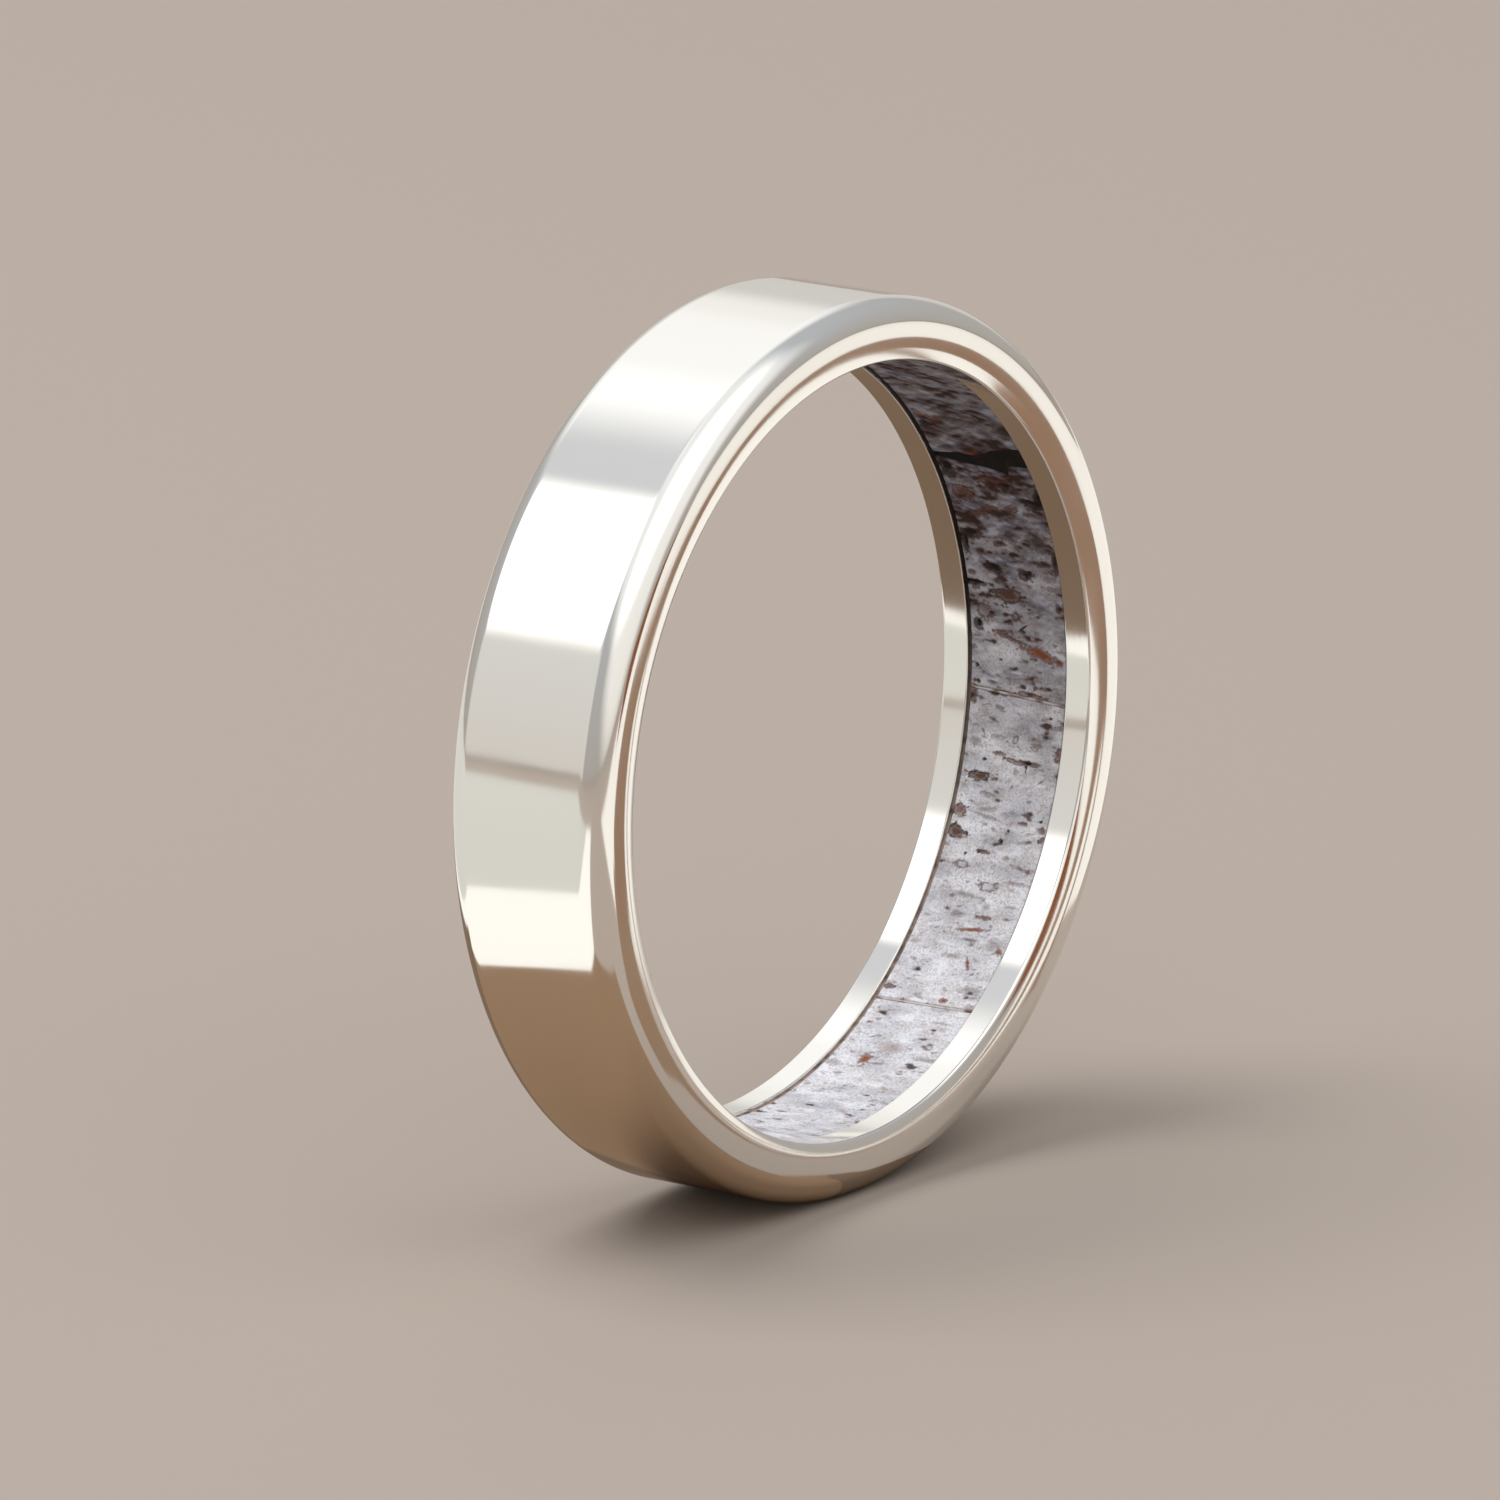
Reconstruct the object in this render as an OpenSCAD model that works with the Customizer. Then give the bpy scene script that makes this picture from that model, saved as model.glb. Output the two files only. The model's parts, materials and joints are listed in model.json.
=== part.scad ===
// Wedding band with an antler lining.
// A one-piece polished ring has a channel cut round its bore. Curved strips of antler are bedded
// in the channel on a film of adhesive, and their joints and edges are filled with dark resin.
// The ring stands on its rim: the bore runs along Y, the front side face looks along -Y,
// and the origin is the centre of the bore. Millimetres.

/* [Band] */
// Inside diameter of the bore, measured across the two polished rails
bore_d = 20.6; // [15:0.1:25]
// Width of the band along the finger
band_w = 5.0; // [4:0.1:8]
// Thickness of the band from the rails to the outside face
wall_t = 1.65; // [1.35:0.05:2.6]
// Radius of the corners between the outside face and the two side faces
outer_corner_r = 0.7; // [0.2:0.05:0.9]
// Radius of the eased edges between the side faces and the bore
inner_edge_r = 0.25; // [0.1:0.01:0.35]

/* [Channel] */
// Flat width of each polished rail beside the channel
rail_w = 0.65; // [0.4:0.05:0.9]
// How far the lining lies below the rails
recess = 0.1; // [0.02:0.01:0.2]

/* [Lining] */
// Thickness of the antler strips
strip_t = 0.75; // [0.4:0.05:0.9]
// Thickness of the adhesive film under the strips
bed_t = 0.08; // [0.05:0.01:0.12]
// Width of the resin run along each wall of the channel
seam_w = 0.06; // [0.05:0.01:0.12]
// Width of an ordinary resin joint between two strips
joint_w = 0.08; // [0.06:0.01:0.16]

/* [Hidden] */
// Angle of each joint, in degrees up from +X round towards +Z
joint_at = [35, 71, 108, 145, 184, 224, 264, 305.5, 355];
// How far each joint drifts round the ring between its rear end and its front end
joint_drift = [0, -0.22, 0.3, 0.12, -0.28, 0.2, -0.14, 0.08, -0.16];
// Both sides of the broken joint, where the end of a strip crumbled and was filled:
// millimetres round the ring, and share of the half width from the rear (-1) to the front (1)
broken_low = [[-0.22, -1], [-0.33, -0.5], [-0.4, 0.05], [-0.54, 0.47], [-0.2, 0.53], [-0.16, 1]];
broken_high = [[-0.04, -1], [0.05, -0.5], [0.04, -0.1], [0.13, 0.1], [0.36, 0.32], [0.44, 0.6], [0.54, 0.8], [0.6, 1]];

strips = len(joint_at);
bore_r = bore_d / 2;
outer_r = bore_r + wall_t;
channel_w = band_w - 2 * (inner_edge_r + rail_w);
strip_w = channel_w - 2 * seam_w;
lining_r = bore_r + recess;
bed_r = lining_r + strip_t;
channel_r = bed_r + bed_t;
overcut = 0.2;
far = 2 * outer_r;
round_fn = 180;
corner_fn = 64;

strip_names = [for (k = [1:strips]) str("antler_strip_", k)];
joint_names = [for (k = [1:strips]) str("joint_fill_", k)];

// The parts are drawn round Z with the front at +Z, and this stands them up
module stand() {
    rotate([90, 0, 0]) children();
}

// Ring of rectangular section from radius r_in to r_out and from z_low to z_high
module ring(r_in, r_out, z_low, z_high) {
    rotate_extrude($fn = round_fn) {
        translate([r_in, z_low]) square([r_out - r_in, z_high - z_low]);
    }
}

// What a quarter round of radius r takes off a corner at the origin of metal that lies at -x, -y
module corner_waste(r) {
    difference() {
        translate([-r, -r]) square(r + overcut);
        translate([-r, -r]) circle(r, $fn = corner_fn);
    }
}

// Section of the band: x is the radius, y runs from the rear face to the front face
module band_section() {
    difference() {
        translate([bore_r, -band_w / 2]) square([wall_t, band_w]);
        translate([bore_r - overcut, -channel_w / 2]) square([channel_r - bore_r + overcut, channel_w]);
        for (side = [0, 1]) mirror([0, side]) {
            translate([outer_r, band_w / 2]) corner_waste(outer_corner_r);
            translate([bore_r, band_w / 2]) mirror([1, 0]) corner_waste(inner_edge_r);
        }
    }
}

module band() {
    color("#dedcd6") stand() rotate_extrude($fn = round_fn) band_section();
}

// Two sides of joint k, as points [mm round the ring, share of the half width]
function straight_side(k, offset) = [[offset - joint_drift[k] / 2, -1], [offset + joint_drift[k] / 2, 1]];
function low_side(k) = k == 0 ? broken_low : straight_side(k, -joint_w / 2);
function high_side(k) = k == 0 ? broken_high : straight_side(k, joint_w / 2);

// A side in millimetres, run on a little past both edges of the strips
function side_points(side) = concat(
    [[side[0][0], -strip_w / 2 - overcut]],
    [for (p = side) [p[0], p[1] * strip_w / 2]],
    [[side[len(side) - 1][0], strip_w / 2 + overcut]]
);
function reversed(list) = [for (i = [len(list) - 1:-1:0]) list[i]];

// Block with the given outline, [round the ring, along the bore], raised outwards from joint k
module joint_block(k, outline) {
    rotate([0, 0, joint_at[k]]) rotate([90, 0, 90]) linear_extrude(far) polygon(outline);
}

// Everything past the high side of joint k, and everything short of its low side
module past_joint(k) {
    reach = strip_w / 2 + overcut;
    joint_block(k, concat(side_points(high_side(k)), [[far, reach], [far, -reach]]));
}
module before_joint(k) {
    reach = strip_w / 2 + overcut;
    joint_block(k, concat(side_points(low_side(k)), [[-far, reach], [-far, -reach]]));
}

// The ring that strips and joint fills are cut from
module lining_ring() {
    ring(lining_r, bed_r, -strip_w / 2, strip_w / 2);
}

// Strip k lies between joint k and the next joint round the ring
module antler_strip(k) {
    color("#cdcfd4") stand() intersection() {
        lining_ring();
        past_joint(k - 1);
        before_joint(k % strips);
    }
}

module joint_fill(k) {
    color("#2b211d") stand() intersection() {
        lining_ring();
        joint_block(k - 1, concat(side_points(low_side(k - 1)), reversed(side_points(high_side(k - 1)))));
    }
}

module adhesive_bed() {
    color("#6b5a4a") stand() ring(bed_r, channel_r, -channel_w / 2, channel_w / 2);
}

module front_seam_fill() {
    color("#3a2c24") stand() ring(lining_r, bed_r, strip_w / 2, channel_w / 2);
}

module rear_seam_fill() {
    color("#3a2c24") stand() ring(lining_r, bed_r, -channel_w / 2, -strip_w / 2);
}

band();
adhesive_bed();
front_seam_fill();
rear_seam_fill();
for (k = [1:strips]) {
    antler_strip(k);
    joint_fill(k);
}
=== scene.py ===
# Wedding band with an antler lining: a polished white gold ring whose channel is lined with
# strips of antler bedded in dark resin. Sizes are in millimetres until a mesh is made.
import json
import math
import bpy
import numpy as np
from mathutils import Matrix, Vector


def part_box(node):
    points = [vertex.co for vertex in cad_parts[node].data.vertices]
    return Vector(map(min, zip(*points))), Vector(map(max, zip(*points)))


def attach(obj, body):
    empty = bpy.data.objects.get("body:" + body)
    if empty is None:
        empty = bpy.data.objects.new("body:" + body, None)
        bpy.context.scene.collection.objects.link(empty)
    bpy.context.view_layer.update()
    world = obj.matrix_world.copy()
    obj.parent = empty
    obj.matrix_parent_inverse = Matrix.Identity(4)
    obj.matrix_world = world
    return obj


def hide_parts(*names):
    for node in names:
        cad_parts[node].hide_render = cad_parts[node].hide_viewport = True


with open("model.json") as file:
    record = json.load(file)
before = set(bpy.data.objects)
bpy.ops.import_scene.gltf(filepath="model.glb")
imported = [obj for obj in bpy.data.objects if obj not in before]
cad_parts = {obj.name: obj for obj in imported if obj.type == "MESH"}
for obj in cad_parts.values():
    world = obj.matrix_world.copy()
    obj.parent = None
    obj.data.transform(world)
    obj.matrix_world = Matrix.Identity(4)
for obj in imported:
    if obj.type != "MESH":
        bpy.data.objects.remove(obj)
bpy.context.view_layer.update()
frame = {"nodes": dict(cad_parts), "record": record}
mm = 0.001  # one millimetre in metres


def nodeRadii(name):
    # nearest and farthest point of a CAD node from the bore axis
    mesh = frame["nodes"][name].data
    points = np.empty(len(mesh.vertices) * 3)
    mesh.vertices.foreach_get("co", points)
    points = points.reshape(-1, 3) / mm
    radius = np.hypot(points[:, 0], points[:, 2])
    return radius.min(), radius.max()


mounts = {m["name"]: m for m in frame["record"]["mounts"]}
boreR = mounts["finger_bore"]["dims"]["r_mm"]
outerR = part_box("band")[1].x / mm
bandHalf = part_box("band")[1].y / mm  # half the band's width
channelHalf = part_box("adhesive_bed")[1].y / mm
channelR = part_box("adhesive_bed")[1].x / mm
liningR, bedR = nodeRadii("rear_seam_fill")
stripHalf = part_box("rear_seam_fill")[0].y / mm
print(f"frame: bore {boreR:.2f}, outside {outerR:.2f}, lining {liningR:.2f} to {bedR:.2f}")


# the camera: level, looking down a little on the front left of the band
camera = {
    "azimuth": -54.34,  # degrees, 0 looks along +Y
    "elevation": 14.05,
    "distance": 379.5,
    "right": -1.11,  # how far the view axis passes beside and below the bore's centre
    "up": -0.265,
    "lens": 348.6,
    "sensor": 36.0,
}


def makeCamera(c):
    az, el = math.radians(c["azimuth"]), math.radians(c["elevation"])
    back = Vector((math.sin(az) * math.cos(el), -math.cos(az) * math.cos(el), math.sin(el)))
    right = Vector((math.cos(az), math.sin(az), 0))
    up = back.cross(right)
    data = bpy.data.cameras.new("camera")
    data.lens, data.sensor_width = c["lens"], c["sensor"]
    data.clip_start, data.clip_end = 0.01, 20
    data.dof.use_dof = False
    made = bpy.data.objects.new("camera", data)
    made.location = (back * c["distance"] + right * c["right"] + up * c["up"]) * mm
    made.rotation_mode = "QUATERNION"
    made.rotation_quaternion = (-back).to_track_quat("-Z", "Y")
    bpy.context.collection.objects.link(made)
    bpy.context.scene.camera = made


makeCamera(camera)
print("camera made")


def meshObject(name, points, faces, material, layers=None):
    # points in millimetres; a layer holds one colour per point and is kept under its name
    mesh = bpy.data.meshes.new(name)
    mesh.from_pydata((points * mm).tolist(), [], faces)
    mesh.polygons.foreach_set("use_smooth", np.ones(len(faces), bool))
    for layerName, colours in (layers or {}).items():
        layer = mesh.color_attributes.new(layerName, "FLOAT_COLOR", "POINT")
        layer.data.foreach_set("color", colours.astype(np.float32).ravel())
    mesh.materials.append(material)
    mesh.update()
    made = bpy.data.objects.new(name, mesh)
    bpy.context.collection.objects.link(made)
    return made


def gridFaces(rows, columns, wrapRows, wrapColumns):
    # quads of a grid of points numbered row by row: (i, j), (i, j+1), (i+1, j+1), (i+1, j)
    i = np.arange(rows if wrapRows else rows - 1)[:, None]
    j = np.arange(columns if wrapColumns else columns - 1)[None, :]
    nextI, nextJ = (i + 1) % rows, (j + 1) % columns
    corners = [i * columns + j, i * columns + nextJ, nextI * columns + nextJ, nextI * columns + j]
    return np.stack([c.ravel() for c in np.broadcast_arrays(*corners)], 1)


def roundAxis(radius, y, turn):
    # x = r cos t, z = r sin t: radius and y in millimetres, t in degrees round the bore axis
    turn = np.radians(turn)
    return np.stack(np.broadcast_arrays(radius * np.cos(turn), y, radius * np.sin(turn)), -1)


def latheObject(name, profile, steps, material):
    # the closed profile [radius, y] carried once round the bore axis, (r, y, t) at steps values of t
    turn = np.linspace(0, 360, steps, endpoint=False)
    points = roundAxis(profile[None, :, 0], profile[None, :, 1], turn[:, None]).reshape(-1, 3)
    return meshObject(name, points, gridFaces(steps, len(profile), True, True).tolist(), material)


def arcPoints(centreR, centreY, radius, fromDeg, toDeg, count):
    # r = centreR + radius cos a, y = centreY + radius sin a
    turn = np.radians(np.linspace(fromDeg, toDeg, count))
    return np.column_stack([centreR + radius * np.cos(turn), centreY + radius * np.sin(turn)])


def linePoints(start, end, inset=0.02, count=3):
    # the inside of a straight stretch, with a point close to each end so that it shades flat
    start, end = np.array(start, float), np.array(end, float)
    length = np.hypot(*(end - start))
    share = np.linspace(min(inset / length, 0.25), 1 - min(inset / length, 0.25), count)
    return start + share[:, None] * (end - start)


def linear(hexText):
    # an sRGB hex colour as linear red, green, blue and alpha
    s = np.array([int(hexText[i:i + 2], 16) / 255 for i in (1, 3, 5)])
    low = s / 12.92
    high = ((s + 0.055) / 1.055) ** 2.4
    return (*np.where(s <= 0.04045, low, high).tolist(), 1.0)


def addNode(tree, kind, inputs=None, **settings):
    # inputs: name or number of each input, and its value or the output linked to it
    made = tree.nodes.new(kind)
    for key, value in settings.items():
        setattr(made, key, value)
    for key, value in (inputs or {}).items():
        if isinstance(value, bpy.types.NodeSocket):
            tree.links.new(value, made.inputs[key])
        else:
            made.inputs[key].default_value = value
    return made


def startMaterial(name):
    # a material with no nodes yet, and its node tree
    made = bpy.data.materials.new(name)
    made.use_nodes = True
    made.node_tree.nodes.clear()
    return made, made.node_tree


def finishMaterial(tree, inputs):
    # closes the tree with one surface shader
    shader = addNode(tree, "ShaderNodeBsdfPrincipled", inputs)
    addNode(tree, "ShaderNodeOutputMaterial", {"Surface": shader.outputs[0]})


def polishedWhiteGold():
    # 14 carat white gold, buffed to a mirror: warm white and bright, with polishing lines round the
    # band about 0.1 mm apart, drawn coarser than they are, and a faint unevenness of the buffed face
    made, tree = startMaterial("white_gold_polished")
    place = addNode(tree, "ShaderNodeTexCoord").outputs["Object"]
    x, y, z = addNode(tree, "ShaderNodeSeparateXYZ", {0: place}).outputs
    flat = addNode(tree, "ShaderNodeCombineXYZ", {0: x, 1: z}).outputs[0]
    radius = addNode(tree, "ShaderNodeVectorMath", {0: flat}, operation="LENGTH").outputs["Value"]
    # the lines depend on the radius and on the place along the bore, so they run round the band
    across = addNode(tree, "ShaderNodeCombineXYZ", {0: radius, 1: y}).outputs[0]
    lines = addNode(tree, "ShaderNodeTexNoise", {"Vector": across, "Scale": 9000.0, "Detail": 2.0}).outputs[0]
    sweep = addNode(tree, "ShaderNodeTexNoise", {"Vector": place, "Scale": 350.0, "Detail": 1.0}).outputs[0]
    gloss = stretch(tree, sweep, 0.3, 0.7, 0.075, 0.115)
    fine = addNode(tree, "ShaderNodeBump", {"Height": lines, "Strength": 0.05,
                                            "Distance": 0.00001}).outputs[0]
    wave = addNode(tree, "ShaderNodeBump", {"Height": sweep, "Strength": 0.06, "Distance": 0.0001,
                                            "Normal": fine})
    finishMaterial(tree, {"Base Color": linear("#f1eee8"), "Metallic": 1.0, "Roughness": gloss,
                          "Normal": wave.outputs[0]})
    return made


def mixColour(tree, factor, first, second):
    # blends two colours; either may be a hex text or the output of another node
    inputs = {"Factor": factor, 6: first, 7: second}
    inputs = {key: linear(value) if isinstance(value, str) else value for key, value in inputs.items()}
    return addNode(tree, "ShaderNodeMix", inputs, data_type="RGBA").outputs[2]


def stretch(tree, value, low, high, to0=0.0, to1=1.0):
    # carries the range low to high over to to0 to to1, and stops there
    inputs = {"Value": value, "From Min": low, "From Max": high, "To Min": to0, "To Max": to1}
    return addNode(tree, "ShaderNodeMapRange", inputs).outputs[0]


def sandedAntler():
    # antler sanded fine and sealed: bluish white bone with clouds about 0.7 mm wide, fibres 0.1 by
    # 0.3 mm along the bore, flecks 0.06 mm wide, and pores stained brown, rust and black; a low
    # satin sheen
    made, tree = startMaterial("antler_sanded")
    place = addNode(tree, "ShaderNodeTexCoord").outputs["Object"]
    long = addNode(tree, "ShaderNodeMapping", {"Vector": place, "Scale": (1.0, 0.3, 1.0)}).outputs[0]
    cloud = addNode(tree, "ShaderNodeTexNoise", {"Vector": place, "Scale": 1500.0, "Detail": 3.0}).outputs[0]
    fibre = addNode(tree, "ShaderNodeTexNoise", {"Vector": long, "Scale": 11000.0, "Detail": 3.0,
                                                 "Roughness": 0.7}).outputs[0]
    fleck = addNode(tree, "ShaderNodeTexNoise", {"Vector": place, "Scale": 17000.0, "Detail": 2.0}).outputs[0]
    stain = addNode(tree, "ShaderNodeAttribute", attribute_name="stain").outputs["Color"]
    grain = addNode(tree, "ShaderNodeAttribute", attribute_name="grain").outputs["Color"]
    dark, brown, rust = addNode(tree, "ShaderNodeSeparateColor", {0: stain}).outputs
    pale, coreAndShade = addNode(tree, "ShaderNodeSeparateColor", {0: grain}).outputs[:2]
    bone = mixColour(tree, stretch(tree, cloud, 0.35, 0.68), "#d4d5dd", "#c7c4c6")
    bone = mixColour(tree, stretch(tree, fibre, 0.52, 0.8, 0.0, 0.45), bone, "#958b87")
    bone = mixColour(tree, stretch(tree, fleck, 0.52, 0.68, 0.0, 0.65), bone, "#978a89")
    bone = mixColour(tree, stretch(tree, fleck, 0.46, 0.34, 0.0, 0.5), bone, "#e5e7ed")
    # open core is greyer, with its fibres standing out; its colour is also set dark as painted shade
    spongyAndShade = mixColour(tree, stretch(tree, fibre, 0.35, 0.7), "#66646f", "#2c1f1e")
    bone = mixColour(tree, coreAndShade, bone, spongyAndShade)
    bone = mixColour(tree, pale, bone, mixColour(tree, coreAndShade, "#e2e3e8", "#a2a2b2"))
    bone = mixColour(tree, brown, bone, "#542a10")
    bone = mixColour(tree, rust, bone, "#7c3804")
    bone = mixColour(tree, dark, bone, "#1e1006")
    gloss = stretch(tree, coreAndShade, 0.0, 1.0, 0.48, 0.75)
    relief = addNode(tree, "ShaderNodeBump", {"Height": fibre, "Strength": 0.25, "Distance": 0.00002})
    finishMaterial(tree, {"Base Color": bone, "Roughness": gloss, "Specular IOR Level": 0.3,
                          "Normal": relief.outputs[0]})
    return made


def cloudedResin():
    # resin in a close joint, clouded with bone dust: light taupe to brown, satin
    made, tree = startMaterial("resin_bone_dust")
    stain = addNode(tree, "ShaderNodeAttribute", attribute_name="stain").outputs["Color"]
    dark, brown = addNode(tree, "ShaderNodeSeparateColor", {0: stain}).outputs[:2]
    colour = mixColour(tree, brown, "#b5afb0", "#8a6a55")
    colour = mixColour(tree, dark, colour, "#33231c")
    finishMaterial(tree, {"Base Color": colour, "Roughness": 0.45})
    return made


def curedResin(name, colour, roughness, shadedTopColour=None):
    # clear resin over a dark ground, as it sets in a groove: slow clouds, painted shade that darkens
    # the top of the band when a colour for it is given, a low gloss
    made, tree = startMaterial(name)
    place = addNode(tree, "ShaderNodeTexCoord").outputs["Object"]
    if shadedTopColour:
        # painted shade: darker toward the top of the band, where the lining faces down away from the light
        height = addNode(tree, "ShaderNodeSeparateXYZ", {0: place}).outputs[2]
        colour = mixColour(tree, stretch(tree, height, -5 * mm, 2 * mm), colour, shadedTopColour)
    cloud = addNode(tree, "ShaderNodeTexNoise", {"Vector": place, "Scale": 2500.0, "Detail": 2.0}).outputs[0]
    shade = mixColour(tree, stretch(tree, cloud, 0.45, 0.8), colour, "#221813")
    finishMaterial(tree, {"Base Color": shade, "Roughness": roughness, "Specular IOR Level": 0.2})
    return made


gold = polishedWhiteGold()
antler = sandedAntler()
dustyResin = cloudedResin()
resin = curedResin("resin_dark", "#0f0c0b", 0.65)  # black filler in the broken joint
seam = curedResin("resin_seam", "#a08f86", 0.5, "#15100e")  # taupe low in the band, with painted shade darkening it to black toward the top
film = curedResin("adhesive_amber", "#6b5a4a", 0.4)
print("materials made")


# the gold band: flat outside, round corners and gently domed side faces
band = {
    "cornerRadius": 0.7,  # between the outside and the side faces
    "easedEdge": 0.06,  # between the side faces and the rails
    "brokenEdge": 0.03,  # what the stone takes off the rim of the channel
    "crownRadius": 10.95,  # where the domed side faces stand out most
    "boreFall": 0.13,  # how far the dome falls away by the bore
    "outerFall": 0.05,  # and by the outside
    "domeFrom": 1.7,  # distance from the middle of the band's width where the fall sets in
    "domeBlend": 0.5,  # and over which it becomes full
    "steps": 600,
}


def makeBand(b):
    # half of the section runs from the middle of the outside, over the rear face and along the
    # rear rail, into the channel; the other half is its mirror
    corner, eased, broken = b["cornerRadius"], b["easedEdge"], b["brokenEdge"]
    half = np.concatenate([
        linePoints((outerR, 0), (outerR, bandHalf - corner))[1:],
        arcPoints(outerR - corner, bandHalf - corner, corner, 0, 90, 25),
        linePoints((outerR - corner, bandHalf), (boreR + eased, bandHalf), count=17),
        arcPoints(boreR + eased, bandHalf - eased, eased, 90, 180, 9),
        linePoints((boreR, bandHalf - eased), (boreR, channelHalf + broken)),
        arcPoints(boreR + broken, channelHalf + broken, broken, 180, 270, 5),
        linePoints((boreR + broken, channelHalf), (channelR, channelHalf)),
        [(channelR, channelHalf)],
        linePoints((channelR, channelHalf), (channelR, 0))[:-1],
    ])
    # the dome: y falls with the square of the distance from the crown
    away = half[:, 0] - b["crownRadius"]
    fall = np.where(away < 0, b["boreFall"] * (away / (b["crownRadius"] - boreR)) ** 2,
                    b["outerFall"] * (away / (outerR - b["crownRadius"])) ** 2)
    half[:, 1] -= fall * np.clip((half[:, 1] - b["domeFrom"]) / b["domeBlend"], 0, 1)
    mirrored = half[::-1] * [1, -1]
    profile = np.concatenate([half, mirrored])
    made = latheObject("band_polished", profile, b["steps"], gold)
    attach(made, "root")
    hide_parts("band")


makeBand(band)
print("band made")


# the lining: strips of antler with the resin between and beside them
lining = {
    "step": 0.026,  # spacing of the surface points
    "edgeRound": 0.03,  # how far sanding rounds the rim of a strip
    "sandWave": 0.004,  # height of the soft waves that hand sanding leaves
    "jointSink": 0.012,  # how far the resin lies below the antler
    "gapSink": 0.09,  # and in the wide broken joint
    "wideGap": 1.0,  # a joint that spans more degrees than this is the broken one
    "porePerMm2": 9.0,  # small pores strewn over every strip
}

# how open the antler is at the low and high end of each strip, from 0 for dense bone to 1 for the
# brown spongy core, and the seed that strews its pores; the values are also painted shade, set high
# on the strips at the top of the lining, which faces down away from the light
stripCoreAndShade = {
    "antler_strip_1": (1.0, 0.8, 11),
    "antler_strip_2": (0.4, 0.2, 12),
    "antler_strip_3": (0.1, 0.3, 13),
    "antler_strip_4": (0.3, 0.5, 14),
    "antler_strip_5": (0.15, 0.05, 15),
    "antler_strip_6": (0.05, 0.2, 16),
    "antler_strip_7": (0.25, 0.05, 17),
    "antler_strip_8": (0.0, 0.3, 18),
    "antler_strip_9": (0.42, 1.0, 19),
}

# what each kind of mark does to the bone: dark, brown, rust and pale at its middle, the same at
# its rim, and its depth
markKinds = {
    "cell": ((0.3, 0.9, 0.15, 0.0), (0.75, 0.8, 0.0, 0.0), 0.05),
    "black": ((1.0, 0.3, 0.0, 0.0), (0.7, 0.6, 0.0, 0.0), 0.10),
    "pit": ((0.7, 0.8, 0.0, 0.0), (0.15, 0.85, 0.0, 0.0), 0.05),
    "plum": ((0.72, 0.3, 0.0, 0.0), (0.35, 0.3, 0.0, 0.0), 0.03),
    "lens": ((0.28, 0.3, 0.0, 0.0), (0.12, 0.2, 0.0, 0.0), 0.01),
    "brown": ((0.12, 0.75, 0.15, 0.0), (0.25, 0.9, 0.05, 0.0), 0.03),
    "tan": ((0.05, 0.45, 0.05, 0.0), (0.05, 0.3, 0.0, 0.0), 0.01),
    "rust": ((0.0, 0.2, 0.95, 0.0), (0.2, 0.6, 0.3, 0.0), 0.02),
    "ring": ((0.0, 0.2, 0.0, 0.0), (0.2, 0.75, 0.0, 0.0), 0.01),
    "pale": ((0.0, 0.0, 0.0, 0.9), (0.05, 0.15, 0.0, 0.2), 0.0),
}

# how often each kind turns up among the strewn pores
poreKinds = {"pit": 0.08, "brown": 0.26, "rust": 0.08, "tan": 0.32, "ring": 0.18, "pale": 0.08}

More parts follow.
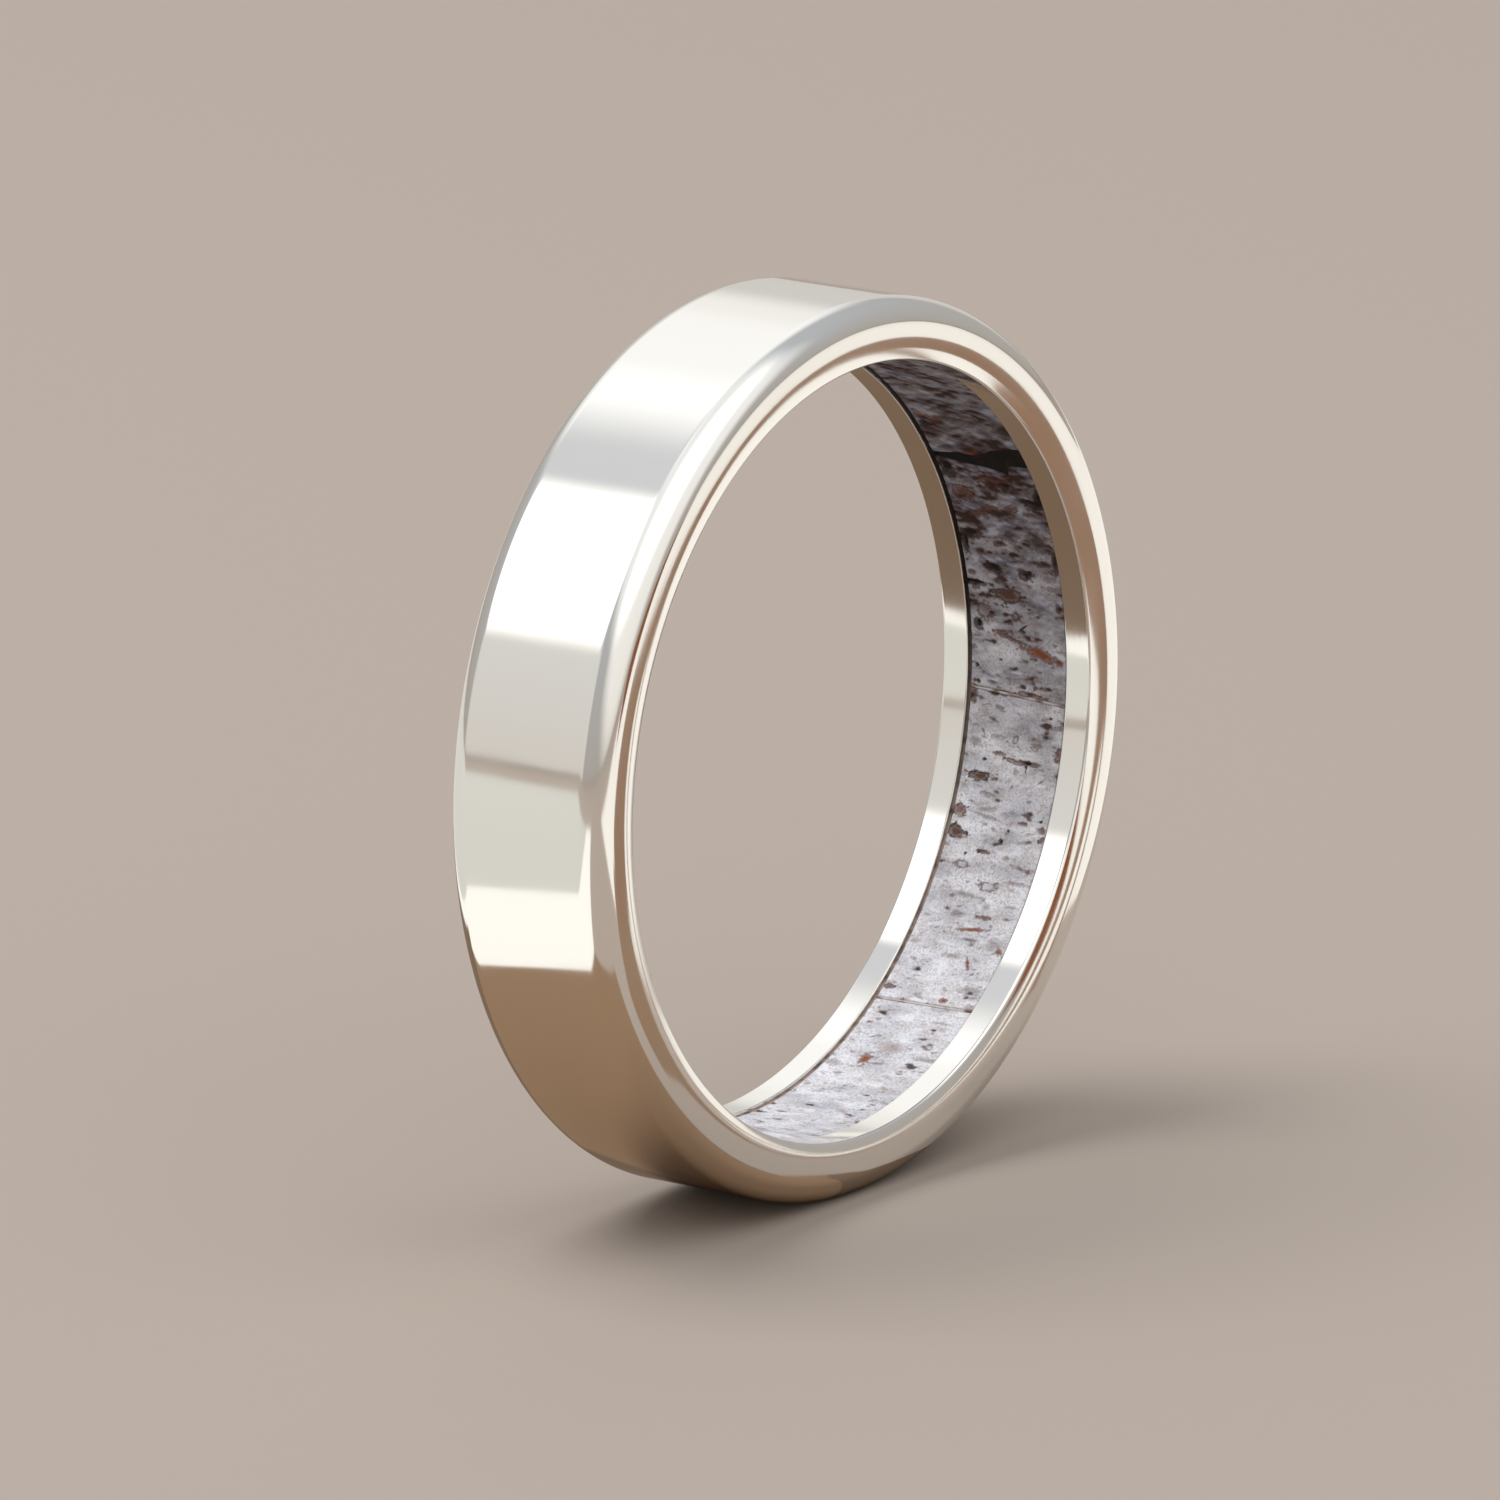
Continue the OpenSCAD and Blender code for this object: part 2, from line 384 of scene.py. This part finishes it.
# the marks that stand out: degrees round the ring, place along the bore (rear is positive), half
# width, half length, how far it leans by its rear end, kind
marks = [
    # dense bone at the bottom of the ring
    (-69.4, 1.3, 0.12, 0.3, 0, "tan"), (-67.4, 0.5, 0.18, 0.15, 0, "rust"),
    (-65.3, -1.25, 0.08, 0.35, 0, "tan"), (-64.0, 0.0, 0.22, 0.4, 0, "tan"),
    (-62.6, -1.0, 0.1, 0.1, 0, "ring"), (-57.5, -0.9, 0.03, 0.3, 0, "tan"),
    (-54.0, 0.2, 0.11, 0.4, 0, "pale"), (-53.9, -1.4, 0.1, 0.18, 0, "tan"),
    (-53.2, -0.5, 0.06, 0.1, 0, "rust"), (-52.4, 1.35, 0.07, 0.12, 0, "brown"),
    (-50.7, -1.1, 0.12, 0.4, 0, "lens"), (-46.3, -0.6, 0.06, 0.1, 0.16, "rust"),
    (-45.4, 0.0, 0.07, 0.25, 0, "tan"), (-43.5, -1.35, 0.06, 0.1, 0, "rust"),
    (-42.4, -1.1, 0.15, 0.2, 0, "tan"), (-40.7, -0.2, 0.05, 0.35, -0.05, "rust"),
    (-38.5, 0.4, 0.08, 0.2, 0, "tan"), (-38.5, -0.45, 0.05, 0.2, 0, "brown"),
    (-36.8, -0.4, 0.1, 0.1, 0, "lens"), (-35.4, 0.4, 0.06, 0.5, 0.03, "lens"),
    (-33.7, -0.2, 0.12, 0.25, 0, "ring"), (-32.5, -1.1, 0.05, 0.35, 0, "tan"),
    (-30.9, 0.8, 0.12, 0.2, 0, "ring"), (-30.5, -1.3, 0.05, 0.08, 0, "brown"),
    (-29.2, 0.8, 0.04, 0.05, 0, "pit"), (-28.9, -0.5, 0.07, 0.1, 0, "tan"),
    (-28.6, 0.25, 0.05, 0.2, 0, "brown"), (-28.6, 0.4, 0.05, 0.07, 0, "pit"),
    (-26.6, -0.2, 0.06, 0.06, 0, "black"), (-26.2, 1.3, 0.13, 0.25, 0.03, "cell"),
    (-26.2, 0.95, 0.05, 0.05, 0, "pit"), (-25.5, -1.45, 0.08, 0.07, 0, "brown"),
    (-24.9, -0.35, 0.05, 0.05, 0, "pit"), (-24.1, -1.4, 0.08, 0.1, 0, "brown"),
    (-23.5, -0.75, 0.05, 0.12, 0, "brown"), (-23.3, 0.45, 0.04, 0.6, 0.1, "tan"),
    (-22.9, 1.35, 0.13, 0.2, 0, "brown"), (-22.7, -1.3, 0.03, 0.04, 0, "black"),
    (-17.6, 0.9, 0.1, 0.28, 0, "cell"), (-17.5, -1.0, 0.09, 0.2, 0, "pale"),
    (-16.1, -0.2, 0.06, 0.08, 0, "tan"), (-15.2, -0.5, 0.1, 0.03, 0, "pit"),
    (-15.0, 0.85, 0.04, 0.07, 0, "pit"), (-14.6, -0.35, 0.06, 0.45, 0, "brown"),
    (-14.6, -0.5, 0.045, 0.15, 0, "black"), (-13.8, 0.45, 0.04, 0.15, 0, "brown"),
    (-12.7, -1.45, 0.14, 0.08, 0, "brown"), (-12.6, 1.2, 0.1, 0.15, 0, "tan"),
    (-11.3, -0.05, 0.1, 0.08, 0, "ring"), (-10.3, -1.1, 0.08, 0.25, 0, "lens"),
    (-10.4, -1.0, 0.05, 0.08, 0, "pit"), (-7.5, -1.1, 0.03, 0.04, 0, "pit"),
    # both sides of the close joint at mid height
    (-5.5, 1.42, 0.22, 0.1, 0, "brown"), (-4.85, 0.5, 0.06, 0.17, 0, "brown"),
    (-4.6, -0.45, 0.06, 0.45, 0.03, "brown"), (-4.5, -0.4, 0.05, 0.12, 0, "pit"),
    (-4.2, -1.3, 0.18, 0.28, 0, "lens"), (-3.6, 1.3, 0.05, 0.05, 0, "pit"),
    (-3.5, -0.55, 0.05, 0.06, 0, "brown"), (-2.5, 0.95, 0.04, 0.25, 0.05, "lens"),
    (-1.5, 0.0, 0.05, 0.4, 0, "pale"), (-1.3, 1.35, 0.05, 0.05, 0, "black"),
    # where the strip turns to open brown core
    (1.9, -0.7, 0.13, 0.5, 0.13, "rust"), (3.4, 0.15, 0.05, 0.45, 0.1, "brown"),
    (1.1, -1.3, 0.06, 0.12, 0, "rust"), (4.3, 0.6, 0.05, 0.2, 0, "brown"),
    (5.1, 1.3, 0.15, 0.12, 0, "black"), (5.4, -0.15, 0.03, 0.17, -0.12, "pit"),
    (5.8, 0.25, 0.04, 0.07, 0, "brown"), (6.3, -0.65, 0.1, 0.2, 0, "tan"),
    (7.0, 0.85, 0.05, 0.07, 0, "pit"), (7.3, 1.05, 0.2, 0.24, 0, "ring"),
    (9.3, -1.4, 0.1, 0.1, 0, "pit"), (10.3, 0.25, 0.19, 0.42, 0, "cell"),
    (11.6, 1.25, 0.08, 0.4, 0, "black"), (10.9, 1.25, 0.06, 0.12, 0, "brown"),
    (13.3, 1.35, 0.07, 0.1, 0, "brown"), (14.3, 0.6, 0.12, 0.2, 0.06, "black"),
    (14.0, -0.45, 0.13, 0.22, -0.04, "black"), (16.3, -1.1, 0.07, 0.2, 0, "pit"),
    (17.0, -1.45, 0.3, 0.08, 0, "pit"), (18.3, 1.4, 0.3, 0.1, 0, "black"),
    (19.8, 1.2, 0.14, 0.33, 0, "black"), (18.7, 0.25, 0.08, 0.2, 0, "pit"),
    (20.4, -0.1, 0.17, 0.28, 0, "plum"), (19.9, -1.0, 0.26, 0.32, 0, "plum"),
    (24.0, 0.6, 0.08, 0.15, 0, "brown"), (24.9, 0.3, 0.1, 0.2, 0, "brown"),
    (25.3, -0.4, 0.1, 0.2, 0, "brown"), (27.3, 1.05, 0.25, 0.32, 0, "brown"),
    (26.8, -1.25, 0.14, 0.32, 0, "black"), (28.0, -1.45, 0.3, 0.14, 0, "black"),
    (29.7, 0.0, 0.12, 0.16, 0, "pit"), (29.6, -0.45, 0.1, 0.2, 0, "black"),
    (30.3, -0.1, 0.14, 0.5, 0, "brown"), (31.8, 1.3, 0.28, 0.2, 0, "black"),
    (31.8, 0.85, 0.1, 0.12, 0, "pit"),
    # beyond the broken joint
    (36.3, 0.95, 0.12, 0.25, 0, "plum"), (37.1, 0.2, 0.1, 0.3, 0, "lens"),
    (41.5, 1.25, 0.12, 0.16, 0, "black"), (42.0, -1.3, 0.3, 0.3, 0, "plum"),
    (40.9, -0.7, 0.15, 0.25, 0, "lens"), (43.6, 0.2, 0.12, 0.55, 0, "plum"),
]


def lineAcross(corners, turnBack=0.0):
    # degrees at a place along the bore, read between the corners [y, degrees] of a line
    return lambda y: np.interp(y, corners[:, 0], corners[:, 1] - turnBack)


def sideLines(node):
    # the two lines where a strip's ends meet its face, as corners [y, degrees]
    mesh = frame["nodes"][node].data
    points = np.empty(len(mesh.vertices) * 3)
    mesh.vertices.foreach_get("co", points)
    points = points.reshape(-1, 3) / mm
    points = points[np.hypot(points[:, 0], points[:, 2]) < liningR + 0.02]
    middle = math.degrees(math.atan2(points[:, 2].mean(), points[:, 0].mean()))
    turn = (np.degrees(np.arctan2(points[:, 2], points[:, 0])) - middle + 180) % 360 - 180
    y = points[:, 1]
    lines = []
    for sign in (-1, 1):
        corners = [(edge, sign * np.max(sign * turn[np.abs(y - edge) < 0.01]))
                   for edge in (-stripHalf, stripHalf)]
        inner = (np.abs(y) < stripHalf - 0.01) & (sign * turn > 0)
        line = np.array(corners + list(zip(y[inner], turn[inner])))
        lines.append(line[np.argsort(line[:, 0])] + [0, middle])
    return lines


def grainWaves(rng, across, along, count=40):
    # a smooth random field of spread 1, its features this wide round the ring and this long along
    # the bore: sqrt(2 / n) times the sum of cos(a s + b y + c) over n waves
    a, b = rng.normal(0, math.pi / across, count), rng.normal(0, math.pi / along, count)
    c = rng.uniform(0, 2 * math.pi, count)
    return lambda s, y: math.sqrt(2 / count) * sum(np.cos(p * s + q * y + r) for p, q, r in zip(a, b, c))


def stampMark(mark, strength, arc, y, wobble, stain, dip):
    # an oval with a ragged outline where q = hypot(s / halfWide, v) = 1: its middle and its rim are
    # stained, and its floor sinks by depth times (1.12 - q) / 0.6
    turn, at, halfWide, halfLong, lean, kind = mark
    s = arc - math.radians(turn) * liningR
    near = (np.abs(s) < 2 * halfWide + abs(lean)) & (np.abs(y - at) < 2 * halfLong)
    if not near.any():
        return
    v = (y[near] - at) / halfLong
    q = np.hypot((s[near] - lean * v) / halfWide, v) * (1 + 0.2 * wobble[near])
    middle = np.clip((1.12 - q) / 0.6, 0, 1)
    rim = np.exp(-((q - 1) / 0.25) ** 2)
    inside, edge, depth = markKinds[kind]
    for channel in range(4):
        tint = np.maximum(middle * inside[channel], rim * edge[channel]) * strength
        stain[..., channel][near] = np.maximum(stain[..., channel][near], tint)
    dip[near] = np.maximum(dip[near], depth * strength * middle)


def antlerFace(node, low, high):
    # depth and stain of one strip's face, from its marks, its strewn pores and its open core, which is partly
    # painted shade
    coreAndShadeLow, coreAndShadeHigh, seed = stripCoreAndShade[node]
    rng = np.random.default_rng(seed)
    wobbleWaves = grainWaves(rng, 0.13, 0.2)
    raggedWaves = grainWaves(rng, 0.05, 0.07)
    cloudWaves = grainWaves(rng, 0.7, 1.2)
    patchWaves = grainWaves(rng, 0.3, 0.75)
    blotchWaves = grainWaves(rng, 0.16, 0.34)

    def face(arc, y, u):
        wobble = 0.8 * wobbleWaves(arc, y) + 0.4 * raggedWaves(arc, y)
        patch, blotch = patchWaves(arc, y), blotchWaves(arc, y)
        coreAndShade = np.clip(coreAndShadeLow + (coreAndShadeHigh - coreAndShadeLow) * u + 0.12 * cloudWaves(arc, y), 0, 1)
        stain = np.zeros(arc.shape + (4,))
        dip = np.zeros(arc.shape)
        # open core, partly painted shade: brown clouds where two fields agree, and darker cells in them
        field = 0.75 * patch + 0.45 * blotch + 0.15 * wobble
        stain[..., 1] = 0.75 * np.clip((field - 1.5 + 1.5 * coreAndShade) / 1.1, 0, 1)
        stain[..., 0] = 0.75 * np.clip((field - 2.0 + 1.45 * coreAndShade) / 0.7, 0, 1)
        stain[..., 3] = 0.5 * np.clip((-field - 0.9) / 0.8, 0, 1) + 0.3 * coreAndShade * np.clip(0.2 - field, 0, 1)
        dip += 0.025 * stain[..., 0]
        # strewn pores, long along the bore, more and larger where the core opens
        start, stop = float(low(0.0)), float(high(0.0))
        area = math.radians(stop - start) * liningR * 2 * stripHalf
        for _ in range(int(area * lining["porePerMm2"])):
            share = rng.uniform()
            openness = coreAndShadeLow + (coreAndShadeHigh - coreAndShadeLow) * share
            halfWide = 0.022 + 0.03 * rng.random() ** 3 * (1 + 2 * openness)
            halfLong = halfWide * rng.uniform(1.1, 3.8)
            kind = rng.choice(list(poreKinds), p=list(poreKinds.values()))
            mark = (start + (stop - start) * share, rng.uniform(-1.5, 1.5), halfWide, halfLong,
                    rng.normal(0, 0.02), kind)
            stampMark(mark, rng.uniform(0.2, 0.6) * (1 + 0.6 * openness), arc, y, wobble, stain, dip)
        for mark in marks:
            if start - 1 < mark[0] < stop + 1:
                stampMark(mark, 1.0, arc, y, wobble, stain, dip)
        dip += lining["sandWave"] * (patch + 0.5 * blotch)
        return dip, np.clip(stain, 0, 1), coreAndShade

    return face


def resinFace(seed, sink, darkness):
    # a joint's face sinks by sink (0.4 + 2.4 u (1 - u)) between the strips; bone dust clouds it
    rng = np.random.default_rng(seed)
    clouds = grainWaves(rng, 0.2, 0.35)

    def face(arc, y, u):
        cloud = clouds(arc, y)
        stain = np.zeros(arc.shape + (4,))
        stain[..., 0] = np.clip(darkness + 0.25 * cloud, 0, 1)
        stain[..., 1] = np.clip(0.3 + 0.5 * cloud, 0, 1)
        return sink * (0.4 + 2.4 * u * (1 - u)), stain, np.zeros(arc.shape)

    return face


def liningSlab(node, low, high, rows, face, material):
    # a slab between the lines low and high, from the face of the lining down to the bed: the face
    # is r = liningR + dip(u, y) at t = low + (high - low) u, the back r = bedR, both sides flat
    columns = int(2 * stripHalf / lining["step"]) + 1
    y = np.linspace(stripHalf, -stripHalf, columns)[None, :] + np.zeros((rows, 1))
    u = np.linspace(0, 1, rows)[:, None] + np.zeros((1, columns))
    turn = low(y) + (high(y) - low(y)) * u
    arc = np.radians(turn) * liningR
    dip, stain, coreAndShade = face(arc, y, u)
    # sanding has rounded the rims: a quarter circle within edgeRound of them
    rim = np.minimum(stripHalf - np.abs(y), np.minimum(arc - arc[0], arc[-1] - arc))
    rim = np.clip(1 - rim / lining["edgeRound"], 0, 1)
    dip = np.clip(dip + lining["edgeRound"] * (1 - np.sqrt(1 - rim ** 2)), 0, 0.3)
    backRows = 12
    w = np.linspace(1, 0, backRows)[:, None]
    backTurn = low(y[:1]) + (high(y[:1]) - low(y[:1])) * w
    points = np.concatenate([roundAxis(liningR + dip, y, turn), roundAxis(bedR, y[:1], backTurn)])
    total = rows + backRows
    faces = gridFaces(total, columns, True, False).tolist()
    faces.append((np.arange(total) * columns).tolist())
    faces.append((np.arange(total)[::-1] * columns + columns - 1).tolist())
    blank = np.zeros((backRows, columns, 4))
    stain = np.concatenate([stain, blank]).reshape(-1, 4)
    coreAndShade = np.concatenate([coreAndShade, blank[..., 0]]).reshape(-1)
    # the strength of pale marks and the open core, partly painted shade, share the second layer
    second = np.column_stack([stain[:, 3], coreAndShade, coreAndShade, np.ones(len(coreAndShade))])
    first = np.column_stack([stain[:, :3], np.ones(len(coreAndShade))])
    layers = {"stain": first, "grain": second}
    made = meshObject(node + "_worked", points.reshape(-1, 3), faces, material, layers)
    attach(made, "root")
    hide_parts(node)


def makeLining():
    names = sorted(name for name in frame["nodes"] if name.startswith("antler_strip"))
    sides = {name: sideLines(name) for name in names}
    for name in names:
        low, high = (lineAcross(corners) for corners in sides[name])
        rows = int(math.radians(float(high(0.0) - low(0.0))) * liningR / lining["step"]) + 1
        liningSlab(name, low, high, rows, antlerFace(name, low, high), antler)
    # joint k lies between the high end of strip k - 1 and the low end of strip k
    for k in range(1, len(names) + 1):
        before = lineAcross(sides[f"antler_strip_{(k - 2) % len(names) + 1}"][1])
        corners = sides[f"antler_strip_{k}"][0]
        apart = float(lineAcross(corners)(0.0) - before(0.0))
        gap = apart % 360
        after = lineAcross(corners, round((apart - gap) / 360) * 360)
        if gap > lining["wideGap"]:
            face, finish, rows = resinFace(40 + k, lining["gapSink"], 1.0), resin, 60
        else:
            face, finish, rows = resinFace(40 + k, lining["jointSink"], 0.1), dustyResin, 7
        liningSlab(f"joint_fill_{k}", before, after, rows, face, finish)


makeLining()
print("lining made")


# the resin along each side of the lining
seams = {
    "sink": 0.003,  # how far its face lies below the lining
    "hollow": 0.006,  # how far the middle of the face sinks below that, and its edges rise above
    "steps": 400,
}


def makeSeams(s):
    # a ring turned from a five-cornered profile, whose face is a shallow groove; the adhesive bed
    # under the strips is out of sight, so its shape stays and only its material changes
    near, far = stripHalf, channelHalf
    face = liningR + s["sink"]
    rear = np.array([(face - s["hollow"], far), (face + s["hollow"], (near + far) / 2),
                     (face - s["hollow"], near), (bedR, near), (bedR, far)])
    for name, side in (("rear_seam_fill", 1), ("front_seam_fill", -1)):
        profile = rear
        if side < 0:
            profile = rear[::-1] * [1, -1]
        made = latheObject(name + "_cured", profile, s["steps"], seam)
        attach(made, "root")
        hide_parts(name)
    bed = frame["nodes"]["adhesive_bed"]
    bed.data.materials.clear()
    bed.data.materials.append(film)


makeSeams(seams)
print("seams made")


# a plain floor, lamps for the light, and cards and a sky with windows for the metal to mirror
studio = {
    "floor": "#a1968d",
    # cards lying round the band: colour, height above the floor, then the corners, to the right of
    # the bore's centre and ahead of it as the camera looks
    "cards": {
        "near_white": ("#ebe9e4", 0.2, [(-27, -70), (-10, -70), (-10, -20), (-20, -2), (-23, -2),
                                        (-23, 165), (-27, 165)]),
        "left_grey": ("#bfbeb9", 0.2, [(-640, -70), (-27, -70), (-27, 165), (-640, 165)]),
        "right_white": ("#e6e2dc", 0.2, [(27, -70), (640, -70), (640, 165), (27, 165)]),
        "under_brown": ("#82674e", 0.02, [(-21, -20), (4, -20), (4, -2), (-21, -2)]),
        "behind_brown": ("#67523f", 0.02, [(-23, -2), (4, -2), (4, 36), (-23, 36)]),
        "front_brown": ("#82674e", 0.3, [(13, -12), (36, -12), (36, 2.5), (13, 2.5)]),
        "right_brown": ("#80624b", 0.4, [(42, -8), (52, -2), (59, 5.5), (92, 30), (90, 34.2), (48, 20.7),
                                         (48, 12), (30, 6), (30, -4)]),
        "right_line": ("#80624b", 0.4, [(19, 7.9), (48, 18.2), (48, 20.7), (19, 9.3)]),
    },
    # boards standing on the floor: colour, one end and the other of the foot in x and y, top
    "boards": {"front_rust": ("#8f5630", (20, -100), (70, -100), 3)},
    "floorHalf": 1500.0,
    "horizon": "#bdb8b3",
    "zenith": "#c9ced6",
    "skyStrength": 0.85,
    # name: place of the middle, width, depth, watts
    "lamps": {
        "overheadPanel": ((-130, 230, 590), 380, 380, 2.2),
        "frontPanel": ((-100, -420, 620), 300, 300, 0.12),
    },
    # windows in the sky: degrees round the bore axis, degrees toward the rear, half width and soft
    # edge in degrees, brightness
    "windows": [
        (128, 34, 14, 5, 1.0),
        (57, 34, 10, 22, 0.6),
        (90, 34, 8, 14, 0.2),
        (8, 32, 14, 10, 0.22),
        (168, 33, 15, 8, 0.28),
        (105, -46, 34, 18, 0.5),
        (105, -13, 32, 14, 0.45),
    ],
}


def addCard(name, shade, corners):
    card, tree = startMaterial(name + "_paper")  # uncoated card: one soft tone
    finishMaterial(tree, {"Base Color": linear(shade), "Roughness": 0.7})
    laid = meshObject(name, np.array(corners), [tuple(range(len(corners)))], card)
    # only the metal mirrors the cards, so the floor stays plain and evenly lit
    laid.visible_camera = laid.visible_diffuse = laid.visible_shadow = False


def makeStudio(s):
    half, ground = s["floorHalf"], -outerR
    floorMaterial, tree = startMaterial("floor_matt")  # matt painted board: one pale tone, no sheen
    finishMaterial(tree, {"Base Color": linear(s["floor"]), "Roughness": 0.8, "Specular IOR Level": 0.0})
    corners = np.array([(x * half, y * half, ground) for x, y in ((-1, -1), (1, -1), (1, 1), (-1, 1))])
    meshObject("floor", corners, [(0, 1, 2, 3)], floorMaterial)
    turn = math.radians(camera["azimuth"])
    right, ahead = np.array([math.cos(turn), math.sin(turn)]), np.array([-math.sin(turn), math.cos(turn)])
    for name, (shade, lift, outline) in s["cards"].items():
        corners = [(*(across * right + along * ahead), ground + lift) for across, along in outline]
        addCard(name, shade, corners)
    for name, (shade, start, end, top) in s["boards"].items():
        addCard(name, shade, [(*start, ground), (*end, ground), (*end, top), (*start, top)])
    for name, (place, width, depth, watts) in s["lamps"].items():
        data = bpy.data.lights.new(name, "AREA")
        data.shape, data.size, data.size_y, data.energy = "RECTANGLE", width * mm, depth * mm, watts
        lamp = bpy.data.objects.new(name, data)
        lamp.location = Vector(place) * mm
        lamp.rotation_mode = "QUATERNION"
        lamp.rotation_quaternion = (-Vector(place)).to_track_quat("-Z", "Y")
        lamp.visible_glossy = False  # the metal mirrors the windows, which have soft edges
        bpy.context.collection.objects.link(lamp)
    world = bpy.data.worlds.new("studio")
    world.use_nodes = True
    tree = world.node_tree
    tree.nodes.clear()
    way = addNode(tree, "ShaderNodeTexCoord").outputs["Generated"]
    height = addNode(tree, "ShaderNodeSeparateXYZ", {0: way}).outputs[2]
    colour = mixColour(tree, stretch(tree, height, 0.0, 0.8), s["horizon"], s["zenith"])
    light = addNode(tree, "ShaderNodeBackground", {"Color": colour, "Strength": s["skyStrength"]}).outputs[0]
    for around, rear, wide, soft, bright in s["windows"]:
        a, b = math.radians(around), math.radians(rear)
        middle = (math.cos(b) * math.cos(a), math.sin(b), math.cos(b) * math.sin(a))
        toward = addNode(tree, "ShaderNodeVectorMath", {0: way, 1: middle}, operation="DOT_PRODUCT")
        rim, full = math.cos(math.radians(wide + soft)), math.cos(math.radians(wide))
        inputs = {"Value": toward.outputs["Value"], "From Min": rim, "From Max": full, "To Max": bright}
        share = addNode(tree, "ShaderNodeMapRange", inputs, interpolation_type="SMOOTHSTEP").outputs[0]
        window = addNode(tree, "ShaderNodeBackground", {"Color": linear("#fffdf8"), "Strength": share})
        light = addNode(tree, "ShaderNodeAddShader", {0: light, 1: window.outputs[0]}).outputs[0]
    addNode(tree, "ShaderNodeOutputWorld", {"Surface": light})
    bpy.context.scene.world = world
    bpy.context.scene.view_settings.view_transform = "Standard"


makeStudio(studio)
print("studio made")
